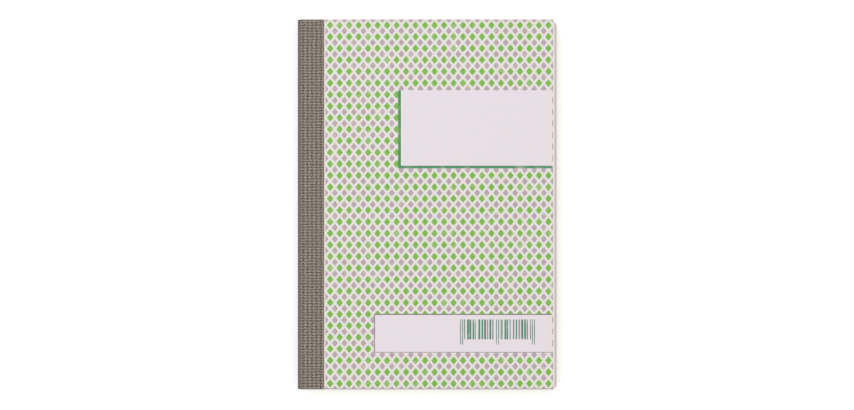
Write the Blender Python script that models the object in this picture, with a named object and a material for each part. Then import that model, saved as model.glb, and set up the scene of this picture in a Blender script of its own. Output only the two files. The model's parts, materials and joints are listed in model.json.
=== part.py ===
"""Upright A5 carbonless duplicate book, lying closed on its back cover.

Fifty sets of two sheets, a white original over a yellow copy, are side-stapled between a printed
card cover and a back board. A grained tape wraps the bound edge. A loose writing shield lies under
the first set, where it stops the pen's pressure. The cover and the first set turn about the
crease beside the tape, and the shield slides out at the fore-edge.

X runs from the spine to the fore-edge, Y from tail to head, and Z up from the back cover. The
origin is under the middle of the book, on the surface that it lies on.
"""

import math

import bmesh
import bpy
from mathutils import Matrix, Vector

MM = 0.001

# Trim size, from the outside of the spine tape to the fore-edge, and from tail to head.
BOOK_WIDTH = 145.6 * MM
BOOK_HEIGHT = 210.0 * MM

# Sheets. Air is what lies between two sheets that rest on each other.
SET_COUNT = 50
PAPER = 0.055 * MM
AIR = 0.020 * MM
GLUED_EDGE = 9.0 * MM

# Covers.
COVER_CARD = 0.30 * MM
BACK_BOARD = 0.80 * MM

# Writing shield, a loose board with rounded corners that stands out at the fore-edge.
SHIELD_BOARD = 0.40 * MM
SHIELD_OVERHANG = 1.7 * MM
SHIELD_HEIGHT = 208.0 * MM
SHIELD_DROP = 0.35 * MM
SHIELD_CORNER = 2.0 * MM
SHIELD_START = 24.5 * MM

# Spine tape. Its flaps lie on the front and back, and glue keeps it off what it covers.
TAPE = 0.25 * MM
TAPE_FLAP = 15.3 * MM
GLUE = 0.020 * MM
FRONT_ROUNDING = 2.4 * MM
BACK_ROUNDING = 1.2 * MM
TAPE_EDGE_GAP = 0.30 * MM

# Crease of the cover and the first set, beside the tape's edge.
CREASE_GAP = 0.30 * MM
LEAF_START = 0.05 * MM
OPEN_CLEARANCE = 0.10 * MM
RISE_START = 4.0 * MM
RISE_LENGTH = 4.5 * MM

# Perforation of the original, a row of slits that starts and ends short of the sheet's edges.
PERFORATION_PLACE = 2.4 * MM
SLIT_LENGTH = 2.1 * MM
SLIT_WIDTH = 0.16 * MM
SLIT_TIE = 0.9 * MM
SLIT_DEPTH_SPARE = 0.5 * MM

# Staples of flat wire, parallel to the spine, with their legs bent inwards at the back.
WIRE_THICKNESS = 0.20 * MM
WIRE_WIDTH = 0.60 * MM
STAPLE_CROWN = 13.0 * MM
STAPLE_CLINCH = 4.6 * MM
STAPLE_BEND = 0.30 * MM
STAPLE_PLACE = 6.0 * MM
STAPLE_SPACING = 110.0 * MM
STAPLE_SEAT = 0.04 * MM
STAPLE_CLEARANCE = 0.09 * MM

# Steps of a quarter turn on the tape, the shield and the wire, and of the cover's rise.
ROUND_STEPS = 7
WIRE_STEPS = 3
RISE_STEPS = 8

# Heights of the bound edge, from the surface up.
PITCH = PAPER + AIR
BOARD_UNDER_TAPE = TAPE + GLUE
SHEETS_BOTTOM = BACK_BOARD + AIR
FIRST_SET_BOTTOM = SHEETS_BOTTOM + (SET_COUNT - 1) * 2 * PITCH
ORIGINAL_BOTTOM = FIRST_SET_BOTTOM + PITCH
COVER_BOTTOM = FIRST_SET_BOTTOM + 2 * PITCH
TAPE_INSIDE_TOP = COVER_BOTTOM + COVER_CARD + GLUE
TAPE_TOP = TAPE_INSIDE_TOP + TAPE

# The first set and the cover lie this much higher on the shield than at the bound edge.
RISE = SHIELD_BOARD + AIR
COVER_TOP = COVER_BOTTOM + RISE + COVER_CARD

# Places along X, and the crease line.
SPINE_X = -(BOOK_WIDTH + SHIELD_OVERHANG) / 2
TAPE_EDGE_X = SPINE_X + TAPE_FLAP
FORE_EDGE_X = SPINE_X + BOOK_WIDTH
CREASE_X = TAPE_EDGE_X + CREASE_GAP
CREASE_Z = (COVER_TOP + TAPE_TOP + OPEN_CLEARANCE) / 2

# Turns that stand a flat outline up: its X and Y become the book's X and Z, or its Y and Z.
OUTLINE_IN_XZ = Matrix.Rotation(math.pi / 2, 4, "X")
OUTLINE_IN_YZ = Matrix.Rotation(math.pi / 2, 4, "Z") @ OUTLINE_IN_XZ


def linear(value):
    """A colour value from 0 to 255 as Blender's linear light."""
    share = value / 255
    return share / 12.92 if share <= 0.04045 else ((share + 0.055) / 1.055) ** 2.4


def new_material(name, rgb, roughness, metallic=0.0):
    made = bpy.data.materials.new(name)
    made.use_nodes = True
    shader = made.node_tree.nodes["Principled BSDF"]
    shader.inputs["Base Color"].default_value = (*map(linear, rgb), 1)
    shader.inputs["Roughness"].default_value = roughness
    shader.inputs["Metallic"].default_value = metallic
    return made


def new_collection(name):
    made = bpy.data.collections.new(name)
    bpy.context.scene.collection.children.link(made)
    return made


def arc(centre, radius, start, end, steps):
    """Points of a round stretch, from one angle to another, in degrees."""
    turns = [math.radians(start + (end - start) * i / steps) for i in range(steps + 1)]
    return [
        (centre[0] + radius * math.cos(turn), centre[1] + radius * math.sin(turn))
        for turn in turns
    ]


def plate(name, outline, depth, place, collection, material=None):
    """A flat outline, extruded evenly to both sides and put in its place by a matrix."""
    curve = bpy.data.curves.new(name, "CURVE")
    curve.dimensions = "2D"
    curve.fill_mode = "BOTH"
    curve.extrude = depth / 2
    spline = curve.splines.new("POLY")
    spline.points.add(len(outline) - 1)
    spline.use_cyclic_u = True
    for point, (across, up) in zip(spline.points, outline):
        point.co = (across, up, 0, 1)
    made = bpy.data.objects.new(name, curve)
    made.matrix_world = place
    collection.objects.link(made)
    if material:
        curve.materials.append(material)
    return made


def as_mesh(curve_object):
    """The same piece as a closed mesh, so that it can be cut."""
    bpy.context.view_layer.update()
    evaluated = curve_object.evaluated_get(bpy.context.evaluated_depsgraph_get())
    mesh = bpy.data.meshes.new_from_object(evaluated)
    shell = bmesh.new()
    shell.from_mesh(mesh)
    bmesh.ops.remove_doubles(shell, verts=shell.verts, dist=AIR / 100)
    shell.to_mesh(mesh)
    shell.free()
    name = curve_object.name
    made = bpy.data.objects.new(name, mesh)
    made.matrix_world = curve_object.matrix_world
    curve_object.users_collection[0].objects.link(made)
    bpy.data.objects.remove(curve_object)
    made.name = name
    return made


def cut(piece, cutters):
    for cutter in cutters:
        modifier = piece.modifiers.new("cut_" + cutter.name, "BOOLEAN")
        modifier.operation = "DIFFERENCE"
        modifier.object = cutter


def as_cutter(piece):
    piece.hide_render = True
    piece.display_type = "WIRE"
    return piece


def at(x, y, z):
    return Matrix.Translation(Vector((x, y, z)))


def bound_x(z):
    """Where a sheet's bound edge lies at this height, inside the rounded tape."""
    for rounding, centre, beyond in (
        (FRONT_ROUNDING, TAPE_TOP - FRONT_ROUNDING, z > TAPE_TOP - FRONT_ROUNDING),
        (BACK_ROUNDING, BACK_ROUNDING, z < BACK_ROUNDING),
    ):
        if beyond:
            reach = (rounding - TAPE) * math.cos(math.pi / 4 / ROUND_STEPS) - GLUE
            return rounding - math.sqrt(max(reach**2 - (z - centre) ** 2, 0))
    return TAPE + GLUE


def strip_outline(bottom, thickness):
    """Section of what lies under the front flap of the tape, from the bound edge to the crease."""
    top = bottom + thickness
    return [(bound_x(bottom), bottom), (TAPE_FLAP, bottom), (TAPE_FLAP, top), (bound_x(top), top)]


def leaf_outline(bottom, thickness):
    """Section of a leaf that turns, about the crease: flat, then up over the shield, then flat."""
    start = bottom - CREASE_Z
    lower = [(LEAF_START, start)]
    for step in range(RISE_STEPS + 1):
        share = step / RISE_STEPS
        lift = RISE * (3 * share**2 - 2 * share**3)
        lower.append((RISE_START + RISE_LENGTH * share, start + lift))
    lower.append((FORE_EDGE_X - CREASE_X, start + RISE))
    upper = [(across, up + thickness) for across, up in reversed(lower)]
    return lower + upper


def staple_outline(spare):
    """Outline of the bent wire about the staple's middle, made wider by spare on every side."""
    half_crown = STAPLE_CROWN / 2 - WIRE_THICKNESS / 2
    top = TAPE_INSIDE_TOP - STAPLE_SEAT - WIRE_THICKNESS / 2
    bottom = TAPE + STAPLE_SEAT + WIRE_THICKNESS / 2
    tip = half_crown - STAPLE_CLINCH - spare
    half = WIRE_THICKNESS / 2 + spare
    outside = STAPLE_BEND + half
    inside = STAPLE_BEND - half
    corner = half_crown - STAPLE_BEND

    def one_side(radius, level):
        """The wire's outer or inner face from the crown's middle to the tip of the clinch."""
        upper = arc((corner, top - STAPLE_BEND), radius, 90, 0, WIRE_STEPS)
        lower = arc((corner, bottom + STAPLE_BEND), radius, 0, -90, WIRE_STEPS)
        return upper + lower + [(tip, bottom + level)]

    outer = one_side(outside, -half)
    inner = one_side(inside, half)
    right = outer + inner[::-1]
    left = [(-across, up) for across, up in reversed(right)]
    return right + left


def staple_places():
    x = SPINE_X + STAPLE_PLACE
    return {
        "staple_head": at(x, STAPLE_SPACING / 2, 0) @ OUTLINE_IN_YZ,
        "staple_tail": at(x, -STAPLE_SPACING / 2, 0) @ OUTLINE_IN_YZ,
    }


def make_staples(book, material):
    for name, place in staple_places().items():
        plate(name, staple_outline(0.0), WIRE_WIDTH, place, book, material)


def make_staple_cutters(cutters):
    """The room that each staple's wire needs in every piece that it runs through."""
    made = []
    for name, place in staple_places().items():
        width = WIRE_WIDTH + 2 * STAPLE_CLEARANCE
        room = plate(name + "_room", staple_outline(STAPLE_CLEARANCE), width, place, cutters)
        made.append(as_cutter(as_mesh(room)))
    return made


def make_slit_cutter(cutters):
    """A row of thin boxes, one for each slit of the perforation, in the original's own frame."""
    step = SLIT_LENGTH + SLIT_TIE
    count = int((BOOK_HEIGHT - SLIT_TIE) / step)
    shell = bmesh.new()
    for index in range(count):
        y = (index - (count - 1) / 2) * step
        size = Matrix.Diagonal((SLIT_WIDTH, SLIT_LENGTH, SLIT_DEPTH_SPARE, 1))
        centre = at(CREASE_X + PERFORATION_PLACE, y, ORIGINAL_BOTTOM + PAPER / 2)
        bmesh.ops.create_cube(shell, size=1.0, matrix=centre @ size)
    mesh = bpy.data.meshes.new("slits")
    shell.to_mesh(mesh)
    shell.free()
    made = bpy.data.objects.new("slits", mesh)
    cutters.objects.link(made)
    return as_cutter(made)


def make_spine_tape(book, material):
    front, back = FRONT_ROUNDING, BACK_ROUNDING
    outer = arc((front, TAPE_TOP - front), front, 90, 180, ROUND_STEPS)
    outer += arc((back, back), back, 180, 270, ROUND_STEPS)
    inner = arc((back, back), back - TAPE, 270, 180, ROUND_STEPS)
    inner += arc((front, TAPE_TOP - front), front - TAPE, 180, 90, ROUND_STEPS)
    outline = [(TAPE_FLAP, TAPE_TOP)] + outer + [(TAPE_FLAP, 0), (TAPE_FLAP, TAPE)]
    outline += inner + [(TAPE_FLAP, TAPE_INSIDE_TOP)]
    plate("spine_tape", outline, BOOK_HEIGHT, at(SPINE_X, 0, 0) @ OUTLINE_IN_XZ, book, material)


def make_back_cover(book, material, room):
    """A board that is pressed thinner under the tape, so that the book lies flat on both."""
    low, high = BOARD_UNDER_TAPE, BACK_BOARD
    step_x = TAPE_FLAP + TAPE_EDGE_GAP
    outline = [(bound_x(low), low), (step_x, low), (step_x, 0), (BOOK_WIDTH, 0)]
    outline += [(BOOK_WIDTH, high), (bound_x(high), high)]
    place = at(SPINE_X, 0, 0) @ OUTLINE_IN_XZ
    cut(as_mesh(plate("back_cover", outline, BOOK_HEIGHT, place, book, material)), room)


def make_bound_set(number, book, material, room):
    """Two sheets that are glued and stapled along their bound edge and lie free beyond it."""
    copy_bottom = SHEETS_BOTTOM + (SET_COUNT - number) * 2 * PITCH
    copy_top = copy_bottom + PAPER
    original_bottom = copy_top + AIR
    original_top = original_bottom + PAPER
    outline = [
        (bound_x(copy_bottom), copy_bottom),
        (BOOK_WIDTH, copy_bottom),
        (BOOK_WIDTH, copy_top),
        (GLUED_EDGE, copy_top),
        (GLUED_EDGE, original_bottom),
        (BOOK_WIDTH, original_bottom),
        (BOOK_WIDTH, original_top),
        (bound_x(original_top), original_top),
    ]
    place = at(SPINE_X, 0, 0) @ OUTLINE_IN_XZ
    name = f"set_{number:02d}"
    cut(as_mesh(plate(name, outline, BOOK_HEIGHT, place, book, material)), room)


def make_strip(name, bottom, thickness, book, material, room):
    """The part of a cover or sheet that stays bound when the rest of it turns."""
    place = at(SPINE_X, 0, 0) @ OUTLINE_IN_XZ
    outline = strip_outline(bottom, thickness)
    cut(as_mesh(plate(name, outline, BOOK_HEIGHT, place, book, material)), room)


def make_leaf(name, bottom, thickness, book, material, slits=()):
    """A cover or sheet from the crease to the fore-edge, with its origin on the crease line."""
    place = at(CREASE_X, 0, CREASE_Z) @ OUTLINE_IN_XZ
    made = plate(name, leaf_outline(bottom, thickness), BOOK_HEIGHT, place, book, material)
    if slits:
        cut(as_mesh(made), slits)


def make_shield(book, material):
    """A loose board, its origin at its own middle, low enough at the head to show its corner."""
    start, end = SHIELD_START, BOOK_WIDTH + SHIELD_OVERHANG
    half_width, half_height = (end - start) / 2, SHIELD_HEIGHT / 2
    x, y = half_width - SHIELD_CORNER, half_height - SHIELD_CORNER
    corners = (((x, y), 0), ((-x, y), 90), ((-x, -y), 180), ((x, -y), 270))
    outline = []
    for centre, start_angle in corners:
        outline += arc(centre, SHIELD_CORNER, start_angle, start_angle + 90, ROUND_STEPS)
    z = FIRST_SET_BOTTOM + SHIELD_BOARD / 2
    place = at(SPINE_X + (start + end) / 2, -SHIELD_DROP, z)
    plate("writing_shield", outline, SHIELD_BOARD, place, book, material)


def main():
    for old in list(bpy.data.objects):
        bpy.data.objects.remove(old, do_unlink=True)
    book = new_collection("duplicate_book")
    cutters = new_collection("cutters")

    print_card = new_material("printed_card", (205, 208, 190), 0.45)
    board = new_material("back_board", (222, 214, 216), 0.65)
    shield_card = new_material("shield_board", (216, 206, 206), 0.60)
    grained_tape = new_material("grained_tape", (128, 119, 110), 0.60)
    white_paper = new_material("white_paper", (240, 240, 242), 0.85)
    yellow_paper = new_material("yellow_paper", (246, 236, 176), 0.85)
    set_paper = new_material("set_paper", (243, 239, 212), 0.85)
    steel_wire = new_material("steel_wire", (176, 178, 182), 0.30, 1.0)

    room = make_staple_cutters(cutters)
    slits = make_slit_cutter(cutters)

    make_back_cover(book, board, room)
    for number in range(2, SET_COUNT + 1):
        make_bound_set(number, book, set_paper, room)
    make_shield(book, shield_card)

    make_strip("copy_01_stub", FIRST_SET_BOTTOM, PAPER, book, yellow_paper, room)
    make_strip("original_01_stub", ORIGINAL_BOTTOM, PAPER, book, white_paper, room)
    make_strip("front_cover_bound_edge", COVER_BOTTOM, COVER_CARD, book, print_card, room)

    make_leaf("copy_01", FIRST_SET_BOTTOM, PAPER, book, yellow_paper)
    make_leaf("original_01", ORIGINAL_BOTTOM, PAPER, book, white_paper, [slits])
    make_leaf("front_cover", COVER_BOTTOM, COVER_CARD, book, print_card)

    make_staples(book, steel_wire)
    make_spine_tape(book, grained_tape)


main()
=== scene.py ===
"""An upright A5 carbonless duplicate book, dressed for its picture and lying closed on a table."""

import json
import math

import bmesh
import bpy
from mathutils import Matrix, Vector


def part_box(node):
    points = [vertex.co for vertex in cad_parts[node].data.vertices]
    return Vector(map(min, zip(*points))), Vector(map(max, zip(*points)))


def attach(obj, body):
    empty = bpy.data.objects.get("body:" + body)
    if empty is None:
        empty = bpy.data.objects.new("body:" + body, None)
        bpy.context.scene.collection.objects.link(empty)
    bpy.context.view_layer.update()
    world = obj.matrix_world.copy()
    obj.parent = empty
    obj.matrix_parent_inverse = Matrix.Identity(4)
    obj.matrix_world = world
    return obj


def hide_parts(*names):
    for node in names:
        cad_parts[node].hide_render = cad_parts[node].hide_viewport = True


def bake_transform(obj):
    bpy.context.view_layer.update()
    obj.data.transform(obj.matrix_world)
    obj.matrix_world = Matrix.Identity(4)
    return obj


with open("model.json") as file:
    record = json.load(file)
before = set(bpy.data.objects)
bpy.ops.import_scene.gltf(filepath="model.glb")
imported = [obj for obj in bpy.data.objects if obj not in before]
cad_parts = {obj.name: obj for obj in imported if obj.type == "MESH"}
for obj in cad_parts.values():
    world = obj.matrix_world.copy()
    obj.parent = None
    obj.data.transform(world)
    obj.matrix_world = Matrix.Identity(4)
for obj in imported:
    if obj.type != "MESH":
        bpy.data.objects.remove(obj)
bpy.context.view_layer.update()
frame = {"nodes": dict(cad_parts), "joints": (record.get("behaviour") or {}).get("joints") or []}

# Camera. It hangs high above the middle of the book and looks straight down, so that the sides
# don't show and the cover has the size and place that it has in the photograph.
MM = 0.001
PICTURE_WIDTH = 854
PICTURE_MIDDLE = (427.0, 205.0)
BOOK_MIDDLE = (426.95, 204.4)
PIXEL = 0.5676 * MM
CAMERA_HEIGHT = 600 * MM
SENSOR_WIDTH = 36.0

cover_low, cover_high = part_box("front_cover")
lens = bpy.data.cameras.new("overhead_camera")
lens.sensor_width = SENSOR_WIDTH
lens.lens = SENSOR_WIDTH * CAMERA_HEIGHT / (PICTURE_WIDTH * PIXEL)
camera = bpy.data.objects.new("overhead_camera", lens)
camera.location = (
    (PICTURE_MIDDLE[0] - BOOK_MIDDLE[0]) * PIXEL,
    (BOOK_MIDDLE[1] - PICTURE_MIDDLE[1]) * PIXEL,
    cover_high.z + CAMERA_HEIGHT,
)
bpy.context.scene.collection.objects.link(camera)
bpy.context.scene.camera = camera
bpy.context.scene.view_settings.view_transform = "Standard"


# Table and light. A white table lies under the book, lit evenly from all round by a pale room and
# by a broad soft lamp above the head. What lies beyond the table shows as plain white.
TABLE_SIZE = 6000 * MM
TABLE_DROP = 0.05 * MM
TABLE_COLOUR = (0.95, 0.95, 0.95, 1.0)
TABLE_WHITENESS = 0.20
BLACK = (0.0, 0.0, 0.0, 1.0)
WHITE = (1.0, 1.0, 1.0, 1.0)
ROOM_LIGHT = 0.80
LAMP_SIZE = 1400 * MM
LAMP_PLACE = (-500 * MM, 550 * MM, 1500 * MM)
LAMP_POWER = 6.7


def linear(value):
    """A colour value from 0 to 255 as the linear light that a shader reads."""
    share = value / 255
    return share / 12.92 if share <= 0.04045 else ((share + 0.055) / 1.055) ** 2.4


def tone(colour, share=1.0):
    """A colour written from 0 to 255, or darkened to a share of that, as a shader reads it."""
    return (*(linear(value * share) for value in colour), 1.0)


class Signal:
    """A shader socket that takes part in plain arithmetic on numbers."""

    def __init__(self, finish, socket):
        self.finish = finish
        self.socket = socket

    def result(self, operation, *others):
        return self.finish.node("ShaderNodeMath", (self, *others), operation=operation)

    def __add__(self, other):
        return self.result("ADD", other)

    def __radd__(self, other):
        return self.result("ADD", other)

    def __sub__(self, other):
        return self.result("SUBTRACT", other)

    def __rsub__(self, other):
        return self.finish.node("ShaderNodeMath", (other, self), operation="SUBTRACT")

    def __mul__(self, other):
        return self.result("MULTIPLY", other)

    def __rmul__(self, other):
        return self.result("MULTIPLY", other)

    def __truediv__(self, other):
        return self.result("DIVIDE", other)

    def __lt__(self, other):
        return self.result("LESS_THAN", other)

    def __gt__(self, other):
        return self.result("GREATER_THAN", other)

    def __abs__(self):
        return self.result("ABSOLUTE")

    def fraction(self):
        return self.result("FRACT")

    def whole(self):
        return self.result("FLOOR")

    def cosine(self):
        return self.result("COSINE")

    def larger(self, other):
        return self.result("MAXIMUM", other)

    def smaller(self, other):
        return self.result("MINIMUM", other)

    def ease(self, start, end):
        """0 below start and 1 above end, with a soft step between them."""
        inputs = {"Value": self, "From Min": start, "From Max": end}
        return self.finish.node("ShaderNodeMapRange", inputs, interpolation_type="SMOOTHSTEP")


class Shading:
    """The nodes of a material or of the world."""

    def __init__(self, owner):
        owner.use_nodes = True
        self.tree = owner.node_tree

    def fill(self, target, value):
        if isinstance(value, Signal):
            self.tree.links.new(value.socket, target)
        else:
            target.default_value = value

    def node(self, kind, inputs=(), output=0, **settings):
        """One node: its settings come first, then the values or links of its sockets."""
        made = self.tree.nodes.new(kind)
        for key, value in settings.items():
            setattr(made, key, value)
        pairs = inputs.items() if isinstance(inputs, dict) else enumerate(inputs)
        for key, value in pairs:
            self.fill(made.inputs[key], value)
        return Signal(self, made.outputs[output])

    def seen(self):
        """1 for what the camera and its reflections see, and 0 for the light that falls on things."""
        camera_ray = self.node("ShaderNodeLightPath", output="Is Camera Ray")
        glossy_ray = self.node("ShaderNodeLightPath", output="Is Glossy Ray")
        through_ray = self.node("ShaderNodeLightPath", output="Is Transmission Ray")
        return camera_ray.larger(glossy_ray).larger(through_ray)


class Finish(Shading):
    """The material of a piece, with colours laid over each other."""

    def __init__(self, name):
        self.material = bpy.data.materials.new(name)
        super().__init__(self.material)
        self.shader = self.tree.nodes["Principled BSDF"]

    def put(self, name, value):
        self.fill(self.shader.inputs[name], value)

    def over(self, below, above, amount):
        """The colour above laid over the colour below, by an amount from 0 to 1."""
        return self.node("ShaderNodeMix", {0: amount, 6: below, 7: above}, 2, data_type="RGBA")

    def point(self, uv_map=None):
        """A point's place in millimetres: on the piece where it lies, or on its flat UV map."""
        if uv_map:
            return self.node("ShaderNodeUVMap", uv_map=uv_map)
        place = self.node("ShaderNodeTexCoord", output="Object")
        return self.node("ShaderNodeVectorMath", {0: place, "Scale": 1 / MM}, operation="SCALE")

    def part(self, vector, axis):
        """The X, Y or Z of a point or a direction."""
        return self.node("ShaderNodeSeparateXYZ", {0: vector}, axis)

    def facing_up(self):
        """1 on a face that looks up, 0 on an upright side, and -1 on a face that looks down."""
        return self.part(self.node("ShaderNodeNewGeometry", output="Normal"), "Z")

    def noise(self, point, waves, detail=3.0, stretch=(1.0, 1.0, 1.0)):
        """Soft noise about 0.5, with that many waves to the millimetre."""
        vector = self.node("ShaderNodeMapping", {"Vector": point, "Scale": stretch})
        return self.node("ShaderNodeTexNoise", {"Vector": vector, "Scale": waves, "Detail": detail})

    def chance(self, number):
        """A value from 0 to 1 that is always the same for one number and unlike for the next."""
        return self.node("ShaderNodeTexWhiteNoise", {"W": number}, noise_dimensions="1D")

    def bump(self, height, depth, strength):
        """Relief of a height from 0 to 1, that many metres deep."""
        inputs = {"Height": height, "Distance": depth, "Strength": strength}
        self.put("Normal", self.node("ShaderNodeBump", inputs))


def finished(name, shell, *materials):
    """The object of a mesh that is built, with its materials."""
    mesh = bpy.data.meshes.new(name)
    shell.to_mesh(mesh)
    shell.free()
    for material in materials:
        mesh.materials.append(material)
    made = bpy.data.objects.new(name, mesh)
    bpy.context.scene.collection.objects.link(made)
    return made


table_finish = Finish("table_white")
table_finish.put("Base Color", TABLE_COLOUR)
table_finish.put("Roughness", 0.9)
table_finish.put("Specular IOR Level", 0.0)
table_finish.put("Emission Color", table_finish.over(BLACK, WHITE, table_finish.seen()))
table_finish.put("Emission Strength", TABLE_WHITENESS)

shell = bmesh.new()
bmesh.ops.create_grid(shell, x_segments=1, y_segments=1, size=TABLE_SIZE / 2)
bmesh.ops.translate(shell, verts=shell.verts, vec=(0, 0, -TABLE_DROP))
table = finished("table", shell, table_finish.material)

world = bpy.data.worlds.new("pale_room")
room = Shading(world)
backdrop = room.tree.nodes["Background"]
backdrop.inputs["Color"].default_value = WHITE
room.fill(backdrop.inputs["Strength"], ROOM_LIGHT + (1 - ROOM_LIGHT) * room.seen())
bpy.context.scene.world = world

lamp = bpy.data.lights.new("soft_lamp", "AREA")
lamp.shape = "SQUARE"
lamp.size = LAMP_SIZE
lamp.energy = LAMP_POWER
lamp_object = bpy.data.objects.new("soft_lamp", lamp)
lamp_object.location = LAMP_PLACE
lamp_object.rotation_euler = (-Vector(LAMP_PLACE)).to_track_quat("-Z", "Y").to_euler()
bpy.context.scene.collection.objects.link(lamp_object)


# Back cover. One board of pressed pulp, cut with the block and pressed thinner where the tape's
# back flap wraps over it, so that both lie flush on the table.
BOARD_TONE = (226, 218, 216)
BOARD_CUT_TONE = (196, 184, 178)
BOARD_CLOUDED = 0.955
BOARD_FIBROUS = 0.92
BOARD_SPECKED = 0.78
BOARD_PLY = 0.84
BOARD_RELIEF = 0.03 * MM
RIM_SHADE_BAND = (0.95, 1.55)


def board_finish(name, face_tone, cut_tone, shaded_rim_box=None):
    """Pulp board: a smooth pressed face with specks and fibres, and a rougher, darker cut edge.

    The last argument gives the lowest and highest corner of a board whose rim gets painted shade."""
    finish = Finish(name)
    point = finish.point()
    cut_side = 1 - abs(finish.facing_up()).ease(0.35, 0.75)
    clouds = finish.noise(point, waves=0.06)
    fibres = finish.noise(point, waves=1.1, detail=6.0, stretch=(1.0, 0.22, 1.0))
    specks = finish.noise(point, waves=2.6, detail=2.0).ease(0.66, 0.74)
    plies = finish.noise(point, waves=1.6, detail=4.0, stretch=(0.35, 0.35, 7.0))
    face = finish.over(tone(face_tone), tone(face_tone, BOARD_CLOUDED), clouds)
    face = finish.over(face, tone(face_tone, BOARD_FIBROUS), fibres.ease(0.45, 0.75) * 0.5)
    face = finish.over(face, tone(face_tone, BOARD_SPECKED), specks * 0.35)
    if shaded_rim_box:
        low, high = (corner / MM for corner in shaded_rim_box)
        x, y = finish.part(point, "X"), finish.part(point, "Y")
        from_rim = (high.x - x).smaller(high.y - y).smaller(y - low.y)
        # Painted shade: a band round the rim, darkened to the colour of the cut edge.
        edge_shade = 1 - (from_rim + 0.5 * fibres).ease(*RIM_SHADE_BAND)
        face = finish.over(face, tone(cut_tone), edge_shade)
    cut = finish.over(tone(cut_tone), tone(cut_tone, BOARD_PLY), plies)
    finish.put("Base Color", finish.over(face, cut, cut_side))
    finish.put("Roughness", 0.62 + 0.12 * fibres + 0.12 * cut_side)
    finish.bump(fibres * 0.5 + specks * 0.2 + plies * cut_side, BOARD_RELIEF, 0.6)
    return finish.material


def dress(node, material):
    """Gives a piece that keeps its CAD shape its material."""
    node.data.materials.clear()
    node.data.materials.append(material)


back_cover = frame["nodes"]["back_cover"]
dress(back_cover, board_finish("back_board", BOARD_TONE, BOARD_CUT_TONE))


# Sets 2 to 50. Each is a white original over a yellow copy, printed with a faint 5 mm grid and cut
# flush with the others, so that the block's edge shows them as fine pale lines.
SET_PITCH = 0.150 * MM
GRID_STEP = 5.0 * MM
GRID_LINE = 0.11 * MM
GRID_INK = 0.75
GRID_SHOWS_THROUGH = 0.12
WHITE_TONE = (244, 244, 243)
YELLOW_TONE = (248, 236, 168)
GRID_TONE = (170, 176, 206)
PAPER_FIBRE_TONE = (214, 212, 206)
PAPER_CUT_TONE = (205, 196, 168)
PAPER_DUST_TONE = (182, 172, 150)
BLOCK_RELIEF = 0.02 * MM


def grid_lines(finish, point):
    """The printed grid: thin lines 5 mm apart both ways."""
    lines = []
    for axis in ("X", "Y"):
        steps = finish.part(point, axis) / (GRID_STEP / MM)
        from_line = abs((steps + 0.5).fraction() - 0.5)
        lines.append(from_line < GRID_LINE / GRID_STEP / 2)
    return lines[0].larger(lines[1])


block_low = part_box("set_50")[0].z / MM
block_finish = Finish("set_paper")
point = block_finish.point()
facing_up = block_finish.facing_up()
flat_side = abs(facing_up).ease(0.4, 0.7)
layer = (block_finish.part(point, "Z") - block_low) / (SET_PITCH / MM)
is_original = layer.fraction() > 0.5
by_sheet = block_finish.chance((layer * 2).whole())
fibres = block_finish.noise(point, waves=0.8, detail=4.0)
edge_grain = block_finish.noise(point, waves=0.9, stretch=(1.0, 1.0, 6.0))
paper = block_finish.over(tone(YELLOW_TONE), tone(WHITE_TONE), is_original)
ink = GRID_SHOWS_THROUGH + (GRID_INK - GRID_SHOWS_THROUGH) * (facing_up > 0)
page = block_finish.over(paper, tone(PAPER_FIBRE_TONE), fibres.ease(0.45, 0.9) * 0.12)
page = block_finish.over(page, tone(GRID_TONE), grid_lines(block_finish, point) * ink)
edge = block_finish.over(paper, tone(PAPER_CUT_TONE), by_sheet * 0.55)
edge = block_finish.over(edge, tone(PAPER_DUST_TONE), edge_grain.ease(0.5, 0.8) * 0.35)
block_finish.put("Base Color", block_finish.over(edge, page, flat_side))
block_finish.put("Roughness", 0.78 + 0.12 * fibres)
block_finish.bump(fibres * 0.3 + edge_grain * (1 - flat_side), BLOCK_RELIEF, 0.5)

for name, node in frame["nodes"].items():
    if name.startswith("set_"):
        dress(node, block_finish.material)


# First set. Its original and its copy are one sheet of paper each, which runs under the tape, past
# the crease beside it, and rises over the writing shield that lies beneath. The original has a row of
# slits, where it tears off.
PAPER = 0.055 * MM
PAPER_FIBROUS = 0.94
PAPER_CLOUDED = 0.97
PAPER_RELIEF = 0.01 * MM
FRONT_ROUNDING = 2.4 * MM
BEND_HALF = 0.30 * MM
BEND_STEPS = 10
RISE_START = 4.0 * MM
RISE_LENGTH = 4.5 * MM
RISE_STEPS = 12
SLITS_FROM_CREASE = 2.4 * MM
SLIT_LENGTH = 2.1 * MM
SLIT_WIDTH = 0.16 * MM
SLIT_TIE = 0.9 * MM

BOOK_HEIGHT = cover_high.y - cover_low.y
joints = {joint["name"]: joint for joint in frame["joints"]}
CREASE = Vector(joints["front_cover_hinge"]["pos_m"])
SLIT_LINE = CREASE.x + SLITS_FROM_CREASE
tape_low, tape_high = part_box("spine_tape")


def across_stops(fore_edge, slits):
    """Where a bent sheet needs vertices across its width, from its bound edge to its fore-edge."""
    stops = [tape_low.x + FRONT_ROUNDING]
    for step in range(BEND_STEPS + 1):
        stops.append(CREASE.x + BEND_HALF * (2 * step / BEND_STEPS - 1))
    if slits:
        stops += [SLIT_LINE - SLIT_WIDTH / 2, SLIT_LINE + SLIT_WIDTH / 2]
    for step in range(RISE_STEPS + 1):
        stops.append(CREASE.x + RISE_START + RISE_LENGTH * step / RISE_STEPS)
    return stops + [fore_edge]


def slit_ends():
    """Where each slit starts and ends, from tail to head."""
    pitch = SLIT_LENGTH + SLIT_TIE
    count = int((BOOK_HEIGHT - SLIT_TIE) / pitch)
    middles = [(number - (count - 1) / 2) * pitch for number in range(count)]
    return [(middle - SLIT_LENGTH / 2, middle + SLIT_LENGTH / 2) for middle in middles]


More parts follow.
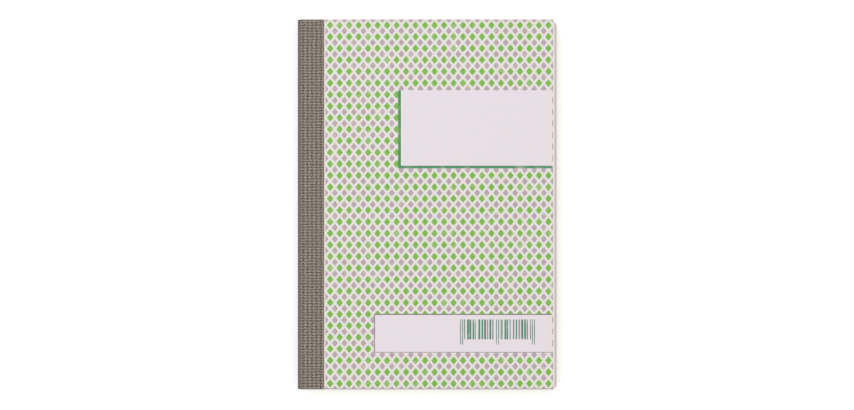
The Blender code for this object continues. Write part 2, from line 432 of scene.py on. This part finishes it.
def cut_slits(shell):
    """Takes the row of slits out of a sheet that has vertices at their ends and sides."""
    cut = []
    for face in shell.faces:
        centre = face.calc_center_median()
        if abs(centre.x - SLIT_LINE) < SLIT_WIDTH / 2:
            if any(start < centre.y < end for start, end in slit_ends()):
                cut.append(face)
    bmesh.ops.delete(shell, geom=cut, context="FACES")


def bent_sheet(name, leaf, strip, thickness, printed, plain, slits=False):
    """A sheet in place of a leaf and of the strip that it is bound by."""
    leaf_low, leaf_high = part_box(leaf)
    rise = leaf_high.z - leaf_low.z - thickness
    shell = bmesh.new()
    corners = []
    for across in across_stops(leaf_high.x, slits):
        share = min(max((across - CREASE.x - RISE_START) / RISE_LENGTH, 0), 1)
        up = leaf_low.z + rise * (3 * share**2 - 2 * share**3)
        corners.append(shell.verts.new((across, leaf_low.y, up)))
    edges = [shell.edges.new(pair) for pair in zip(corners, corners[1:])]
    stops = [stop for ends in slit_ends() for stop in ends] if slits else []
    for stop in stops + [leaf_high.y]:
        grown = bmesh.ops.extrude_edge_only(shell, edges=edges)["geom"]
        edges = [part for part in grown if isinstance(part, bmesh.types.BMEdge)]
        for part in grown:
            if isinstance(part, bmesh.types.BMVert):
                part.co.y = stop
    if slits:
        cut_slits(shell)
    bmesh.ops.recalc_face_normals(shell, faces=shell.faces)
    if sum(face.normal.z * face.calc_area() for face in shell.faces) > 0:
        bmesh.ops.reverse_faces(shell, faces=shell.faces)
    bmesh.ops.solidify(shell, geom=list(shell.faces), thickness=thickness)
    shell.normal_update()
    flat_map = shell.loops.layers.uv.new("sheet")
    for face in shell.faces:
        face.material_index = 0 if face.normal.z > 0.5 else 1
        for loop in face.loops:
            loop[flat_map].uv = loop.vert.co.xy / MM
    made = finished(name, shell, printed, plain)
    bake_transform(made)
    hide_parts(leaf, strip)
    return made


def page_finish(name, paper_tone, ink):
    """Carbonless paper: smooth and matt, slightly clouded. ink is how strongly the grid shows."""
    finish = Finish(name)
    point = finish.point("sheet")
    fibres = finish.noise(point, waves=0.8, detail=4.0)
    clouds = finish.noise(point, waves=0.09)
    page = finish.over(tone(paper_tone), tone(paper_tone, PAPER_FIBROUS), fibres.ease(0.4, 0.9) * 0.6)
    page = finish.over(page, tone(paper_tone, PAPER_CLOUDED), clouds)
    page = finish.over(page, tone(GRID_TONE), grid_lines(finish, point) * ink)
    finish.put("Base Color", page)
    finish.put("Roughness", 0.78 + 0.10 * fibres)
    finish.bump(fibres, PAPER_RELIEF, 0.4)
    return finish.material


white_page = page_finish("white_paper", WHITE_TONE, GRID_INK)
white_back = page_finish("white_paper_back", WHITE_TONE, GRID_SHOWS_THROUGH)
yellow_page = page_finish("yellow_paper", YELLOW_TONE, GRID_INK)
yellow_back = page_finish("yellow_paper_back", YELLOW_TONE, GRID_SHOWS_THROUGH)
copy_sheet = bent_sheet(
    "copy_sheet_01", "copy_01", "copy_01_stub", PAPER, yellow_page, yellow_back
)
original_sheet = bent_sheet(
    "original_sheet_01", "original_01", "original_01_stub", PAPER,
    white_page, white_back, slits=True,
)


# Front cover. A sheet of satin card, bent like the pages and printed outside with a fine harlequin
# check, which leaves two pale panels bare: a large one with a green edge, and a small one with plain
# bars. Lengths on the print are in millimetres, and a box gives its left, tail, right and head.
CARD = 0.30 * MM
CARD_TONE = (243, 238, 231)
CARD_FIBRE_TONE = (222, 214, 206)
CARD_RELIEF = 0.02 * MM
PRINT_RELIEF = 0.01 * MM
PRINT_LEFT = tape_high.x / MM + 0.70
PRINT_RIGHT = cover_high.x / MM - 0.30
LOZENGES_ACROSS = 24
LOZENGES_UP = 32
GREEN_SHARE = 0.725
MAUVE_SHARE = 0.67
LINE_SHARE = 0.10
GREEN_TONE = (118, 179, 58)
MAUVE_TONE = (182, 162, 170)
PALE_TONE = (229, 219, 223)
LINE_TONE = (242, 246, 226)
PANEL_TONE = (232, 222, 230)
YELLOWED_TONE = (236, 222, 214)
YELLOWED_WIDTH = 5.5
YELLOWED_WAVER = 3.0
YELLOWED_CLOUDS = 0.3
LARGE_PANEL = (-14.7, 21.97, 71.05, 64.7)
DARK_GREEN_TONE = (58, 136, 88)
DARK_GREEN_SIDE = 1.7
DARK_GREEN_FOOT = 1.5
PALE_LINE = 0.5
SMALL_PANEL = (-29.5, -83.8, 71.05, -62.75)
RULE_TONE = (124, 114, 122)
RULE = 0.60
BARS = (18.8, -76.6, 61.3, -65.3)
BAR_TONE = (60, 129, 98)
BAR_PAIRS = 13
BAR_STARTS = (0.04, 0.54)
BAR_PLAY = 0.18
BAR_WIDTHS = (0.15, 0.36)
GUARD_WIDTH = 0.5
GUARD_STEP = 1.2
GUARD_DROP = 2.9
GUARD_ROOM = 0.55
INK_WEAR = 0.25
# Painted shade along the cover's ends, strongest at the tail.
END_SHADE_BAND = (0.45, 0.85)
END_SHADE_TONE = (158, 147, 140)
END_SHADE_HEAD = 0.30
END_SHADE_TAIL = 0.90


def within(x, y, box):
    """1 inside a box given as its left, tail, right and head, and 0 outside."""
    left, tail, right, head = box
    return (x > left) * (x < right) * (y > tail) * (y < head)


def lozenges(finish, x, y):
    """Upright lozenges in staggered rows, green and mauve in turn, with pale ground between them."""
    across = ((x - PRINT_LEFT) * (LOZENGES_ACROSS / (PRINT_RIGHT - PRINT_LEFT))).fraction()
    up = (y * (LOZENGES_UP * MM / BOOK_HEIGHT)).fraction()
    spread = (abs(across - 0.5) + abs(up - 0.5)) * 2
    outlined = (spread < GREEN_SHARE + LINE_SHARE).larger(2 - spread < MAUVE_SHARE + LINE_SHARE)
    colour = finish.over(tone(PALE_TONE), tone(LINE_TONE), outlined)
    colour = finish.over(colour, tone(GREEN_TONE), spread < GREEN_SHARE)
    return finish.over(colour, tone(MAUVE_TONE), 2 - spread < MAUVE_SHARE)


def plain_bars(finish, x, y):
    """Pairs of upright bars of chance width and place, which stand for no number, and guards.

    A bar's start and width are shares of the room that its pair has."""
    left, tail, right, head = BARS
    least, most = BAR_WIDTHS
    pair = (x - left) * (BAR_PAIRS / (right - left))

    def bar(start, seed):
        from_start = pair.fraction() - (start + BAR_PLAY * finish.chance(pair.whole() + seed))
        width = least + (most - least) * finish.chance(pair.whole() + (seed + 0.5))
        return (from_start > 0) * (from_start < width)

    bars = bar(BAR_STARTS[0], 0.1).larger(bar(BAR_STARTS[1], 0.3)) * within(x, y, BARS)
    guarded = GUARD_STEP + GUARD_WIDTH
    for start in (left, (left + right - guarded) / 2, right - guarded):
        bare = (start - GUARD_ROOM, tail, start + guarded + GUARD_ROOM, head)
        bars = bars * (1 - within(x, y, bare))
        for edge in (start, start + GUARD_STEP):
            bars = bars.larger(within(x, y, (edge, tail - GUARD_DROP, edge + GUARD_WIDTH, head)))
    return bars


print_finish = Finish("printed_card")
point = print_finish.point("sheet")
x, y = print_finish.part(point, "X"), print_finish.part(point, "Y")
ink = print_finish.noise(point, waves=1.3)
clouds = print_finish.noise(point, waves=0.05, detail=2.0)
tint = print_finish.noise(point, waves=0.16, detail=2.0)
yellowed = (x + YELLOWED_WAVER * (tint - 0.5)).ease(PRINT_RIGHT - YELLOWED_WIDTH, PRINT_RIGHT)
bare = print_finish.over(tone(PANEL_TONE), tone(YELLOWED_TONE), yellowed)
colour = lozenges(print_finish, x, y)

left, tail, right, head = LARGE_PANEL
green_box = (left - DARK_GREEN_SIDE, tail - DARK_GREEN_FOOT, right, head)
colour = print_finish.over(colour, tone(DARK_GREEN_TONE), within(x, y, green_box))
colour = print_finish.over(colour, tone(LINE_TONE), within(x, y, LARGE_PANEL))
colour = print_finish.over(colour, bare, within(x, y, (left + PALE_LINE, tail, right, head)))

left, tail, right, head = SMALL_PANEL
rule_box = (left - RULE, tail - RULE / 2, right, head + RULE)
colour = print_finish.over(colour, tone(RULE_TONE), within(x, y, rule_box))
colour = print_finish.over(colour, bare, within(x, y, SMALL_PANEL))
colour = print_finish.over(colour, tone(BAR_TONE), plain_bars(print_finish, x, y))

colour = print_finish.over(colour, tone(LINE_TONE), ink.ease(0.52, 0.85) * INK_WEAR)
colour = print_finish.over(colour, tone(YELLOWED_TONE), tint.ease(0.5, 0.75) * YELLOWED_CLOUDS)
unprinted = (x < PRINT_LEFT).larger(x > PRINT_RIGHT)
colour = print_finish.over(colour, tone(CARD_TONE), unprinted)
# Painted shade: a dark line along the cover's tail, and a fainter one along its head.
from_end = BOOK_HEIGHT / MM / 2 - abs(y)
end_band = 1 - (from_end + 0.3 * ink).ease(*END_SHADE_BAND)
edge_shade = END_SHADE_HEAD + (END_SHADE_TAIL - END_SHADE_HEAD) * (y < 0)
colour = print_finish.over(colour, tone(END_SHADE_TONE), end_band * edge_shade)
print_finish.put("Base Color", colour)
print_finish.put("Roughness", 0.40 + 0.10 * ink + 0.06 * clouds)
print_finish.bump(ink, PRINT_RELIEF, 0.3)

inside_finish = Finish("card_inside")
point = inside_finish.point("sheet")
fibres = inside_finish.noise(point, waves=0.9, detail=5.0, stretch=(1.0, 0.3, 1.0))
inside_finish.put("Base Color", inside_finish.over(tone(CARD_TONE), tone(CARD_FIBRE_TONE), fibres))
inside_finish.put("Roughness", 0.66 + 0.12 * fibres)
inside_finish.bump(fibres, CARD_RELIEF, 0.5)

cover = bent_sheet(
    "front_cover_card", "front_cover", "front_cover_bound_edge", CARD,
    print_finish.material, inside_finish.material,
)


# Writing shield. A loose board with rounded corners that lies under the first set and stands out a
# little at the fore-edge, where its rim is darkened with painted shade.
SHIELD_TONE = (231, 226, 217)
# The cut edge's colour, also used for the painted shade on the rim.
SHIELD_CUT_AND_RIM_SHADE_TONE = (203, 187, 191)
SHIELD_CORNER = 2.0 * MM
SHIELD_SOFTNESS = 0.10 * MM


def reach_up(edge):
    """How much higher one end of an edge lies than the other."""
    return abs(edge.verts[0].co.z - edge.verts[1].co.z)


def rounded(shell, edges, radius, steps):
    """Gives those edges of a solid a radius."""
    bmesh.ops.bevel(
        shell, geom=edges, offset=radius, segments=steps, profile=0.5, affect="EDGES", material=-1
    )


shield_low, shield_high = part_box("writing_shield")
size = shield_high - shield_low
place = Matrix.Translation((shield_high + shield_low) / 2) @ Matrix.Diagonal((*size, 1))
shell = bmesh.new()
bmesh.ops.create_cube(shell, size=1.0, matrix=place)
rounded(shell, [edge for edge in shell.edges if reach_up(edge) > size.z / 2], SHIELD_CORNER, 8)
rounded(shell, [edge for edge in shell.edges if reach_up(edge) < size.z / 2], SHIELD_SOFTNESS, 3)
bmesh.ops.recalc_face_normals(shell, faces=shell.faces)
shield_board = board_finish("shield_board", SHIELD_TONE, SHIELD_CUT_AND_RIM_SHADE_TONE, (shield_low, shield_high))
shield = finished("shield_board", shell, shield_board)
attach(shield, "shield")
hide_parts("writing_shield")


# Staples. Two of flat bright wire, parallel to the spine and hidden by the tape. Their crowns press
# into the front cover, and their legs run through every sheet and are bent over in the board.
STEEL_TONE = (186, 188, 190)
STEEL_DRAWN_TONE = (150, 152, 156)

steel = Finish("steel_wire")
drawn = steel.noise(steel.point(), waves=3.0, stretch=(1.0, 0.1, 0.1))
steel.put("Base Color", steel.over(tone(STEEL_TONE), tone(STEEL_DRAWN_TONE), drawn))
steel.put("Roughness", 0.22 + 0.2 * drawn)
steel.put("Metallic", 1.0)
for name in ("staple_head", "staple_tail"):
    staple = frame["nodes"][name]
    dress(staple, steel.material)


# Spine tape. Grey-brown paper, embossed with rows of small pits to look like cloth, glued round the
# bound edge with one flap on the front and one on the back.
TAPE_TONE = (146, 135, 122)
TAPE_PIT_TONE = (26, 18, 13)
TAPE_CREST_TONE = (206, 196, 182)
TAPE_CLOUD_TONE = (120, 108, 100)
# Painted shade for the tape's front rounding.
TAPE_ROUNDING_SHADE_TONE = (96, 88, 82)
TAPE_THICKNESS = 0.25 * MM
BACK_ROUNDING = 1.2 * MM
COLUMN_STEP = 2.48 * MM
COLUMN_START = 1.93 * MM
COLUMN_CUTS = 6
COLUMN_WEIGHT = 0.46
ROW_STEP = 1.613 * MM
ROW_CUTS = 4
ROW_WEIGHT = 0.60
CROSSING_STEPS = (1.47 * MM, 1.75 * MM)
CROSSING_WEIGHT = 0.8
PIT_WEIGHT = 3.2
THREAD_STEPS = (0.46 * MM, 0.42 * MM)
THREAD_DEPTH = 0.04 * MM
GROOVE_DEPTH = 0.13 * MM
COLUMN_GROOVES = 0.55
ROW_GROOVES = 0.45
GROOVE_FADE = 0.5 * MM
CLOSE = 1e-6

TAPE_HEIGHT = tape_high.y - tape_low.y
FLAP = tape_high.x - tape_low.x
FRONT_RUN = FLAP - FRONT_ROUNDING
FRONT_TURN = FRONT_ROUNDING * math.pi / 2
SPINE_RUN = tape_high.z - tape_low.z - FRONT_ROUNDING - BACK_ROUNDING
BACK_TURN = BACK_ROUNDING * math.pi / 2
BACK_RUN = FLAP - BACK_ROUNDING
TAPE_LENGTH = FRONT_RUN + FRONT_TURN + SPINE_RUN + BACK_TURN + BACK_RUN


def on_turn(turn, rounding, height, depth):
    """X and Z of a point on a rounding whose middle is at that height, by how far it has turned."""
    reach = rounding - depth
    return tape_low.x + rounding + reach * math.cos(turn), height + reach * math.sin(turn)


def wrapped(along, depth):
    """X and Z of a point on the tape, by how far it lies from the front flap's edge, and how deep."""
    if along < FRONT_RUN:
        return tape_high.x - along, tape_high.z - depth
    along -= FRONT_RUN
    if along < FRONT_TURN:
        turn = math.pi / 2 + along / FRONT_ROUNDING
        return on_turn(turn, FRONT_ROUNDING, tape_high.z - FRONT_ROUNDING, depth)
    along -= FRONT_TURN
    if along < SPINE_RUN:
        return tape_low.x + depth, tape_high.z - FRONT_ROUNDING - along
    along -= SPINE_RUN
    if along < BACK_TURN:
        turn = math.pi + along / BACK_ROUNDING
        return on_turn(turn, BACK_ROUNDING, tape_low.z + BACK_ROUNDING, depth)
    return tape_low.x + BACK_ROUNDING + along - BACK_TURN, tape_low.z + depth


def groove(along, y):
    """How deep the embossing is there, from 0 to 1: fine grooves along the spine and across it."""
    column = 0.5 + 0.5 * math.cos(2 * math.pi * (along - COLUMN_START) / COLUMN_STEP)
    row = 0.5 + 0.5 * math.cos(2 * math.pi * y / ROW_STEP)
    return COLUMN_GROOVES * column**2 + ROW_GROOVES * row**1.4


def wave(along, step, start=0.0):
    """A wave from -1 to 1 along the tape's UV map, with a crest at start and after each step."""
    return ((along - start / MM) * (2 * math.pi * MM / step)).cosine()


columns = round(TAPE_LENGTH / COLUMN_STEP * COLUMN_CUTS)
rows = round(TAPE_HEIGHT / ROW_STEP * ROW_CUTS)
shell = bmesh.new()
bmesh.ops.create_grid(shell, x_segments=columns, y_segments=rows, size=0.5)
for corner in shell.verts:
    corner.co = ((corner.co.x + 0.5) * TAPE_LENGTH, corner.co.y * TAPE_HEIGHT, 0)
inner = []
for end in (-TAPE_HEIGHT / 2, TAPE_HEIGHT / 2):
    edges = []
    for edge in shell.edges:
        if all(abs(corner.co.y - end) < CLOSE for corner in edge.verts):
            edges.append(edge)
    grown = bmesh.ops.extrude_edge_only(shell, edges=edges)["geom"]
    inner += [part for part in grown if isinstance(part, bmesh.types.BMEdge)]
    for part in grown:
        if isinstance(part, bmesh.types.BMVert):
            part.co.z = TAPE_THICKNESS
bmesh.ops.bridge_loops(shell, edges=inner)
bmesh.ops.holes_fill(shell, edges=[edge for edge in shell.edges if edge.is_boundary], sides=0)
flat_map = shell.loops.layers.uv.new("tape")
for face in shell.faces:
    face.smooth = len(face.verts) == 4
    for loop in face.loops:
        loop[flat_map].uv = loop.vert.co.xy / MM
for corner in shell.verts:
    along, y, depth = corner.co
    if depth < TAPE_THICKNESS / 2:
        from_rim = max(min(along, TAPE_LENGTH - along, tape_high.y - abs(y)), 0.0)
        depth = GROOVE_DEPTH * groove(along, y) * min(1.0, from_rim / GROOVE_FADE)
    across, up = wrapped(along, depth)
    corner.co = (across, y, up)
bmesh.ops.recalc_face_normals(shell, faces=shell.faces)

tape_finish = Finish("grained_tape")
point = tape_finish.point("tape")
x, y = tape_finish.part(point, "X"), tape_finish.part(point, "Y")
clouds = tape_finish.noise(point, waves=0.12)
threads = tape_finish.noise(point, waves=1.6, detail=4.0)
pits = tape_finish.noise(point, waves=1.2, detail=0.5)
lattice = COLUMN_WEIGHT * wave(x, COLUMN_STEP, COLUMN_START) + ROW_WEIGHT * wave(y, ROW_STEP)
crossings = wave(x, CROSSING_STEPS[0]) * wave(y, CROSSING_STEPS[1])
pressed = lattice + CROSSING_WEIGHT * crossings + PIT_WEIGHT * (pits - 0.5)
between = 0.5 * wave(x, THREAD_STEPS[0]) + 0.5 * wave(y, THREAD_STEPS[1]) + 1.6 * (threads - 0.5)
hollow = (pressed + 0.4 * between).ease(-0.9, 1.3)
# The crests of the embossing are made lighter.
crests = (1.5 * (threads - 0.5) - pressed - 0.5 * between).ease(0.2, 2.6)
# Painted shade: the tape is darkened on its front rounding, where it turns away from the light.
fold_middle = (FRONT_RUN + 0.6 * FRONT_TURN) / MM
rounding_shade = 1 - abs(x - fold_middle).ease(FRONT_TURN / 4 / MM, FRONT_TURN / MM)
colour = tape_finish.over(tone(TAPE_TONE), tone(TAPE_PIT_TONE), hollow * 0.9)
colour = tape_finish.over(colour, tone(TAPE_CREST_TONE), crests * 0.6)
colour = tape_finish.over(colour, tone(TAPE_CLOUD_TONE), clouds.ease(0.4, 0.8) * 0.3)
colour = tape_finish.over(colour, tone(TAPE_ROUNDING_SHADE_TONE), rounding_shade * 0.55)
tape_finish.put("Base Color", colour)
tape_finish.put("Roughness", 0.55 + 0.2 * threads)
tape_finish.bump(1 - 0.6 * between - 0.2 * hollow, THREAD_DEPTH, 0.8)

tape = finished("cloth_grain_tape", shell, tape_finish.material)
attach(tape, "book")
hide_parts("spine_tape")
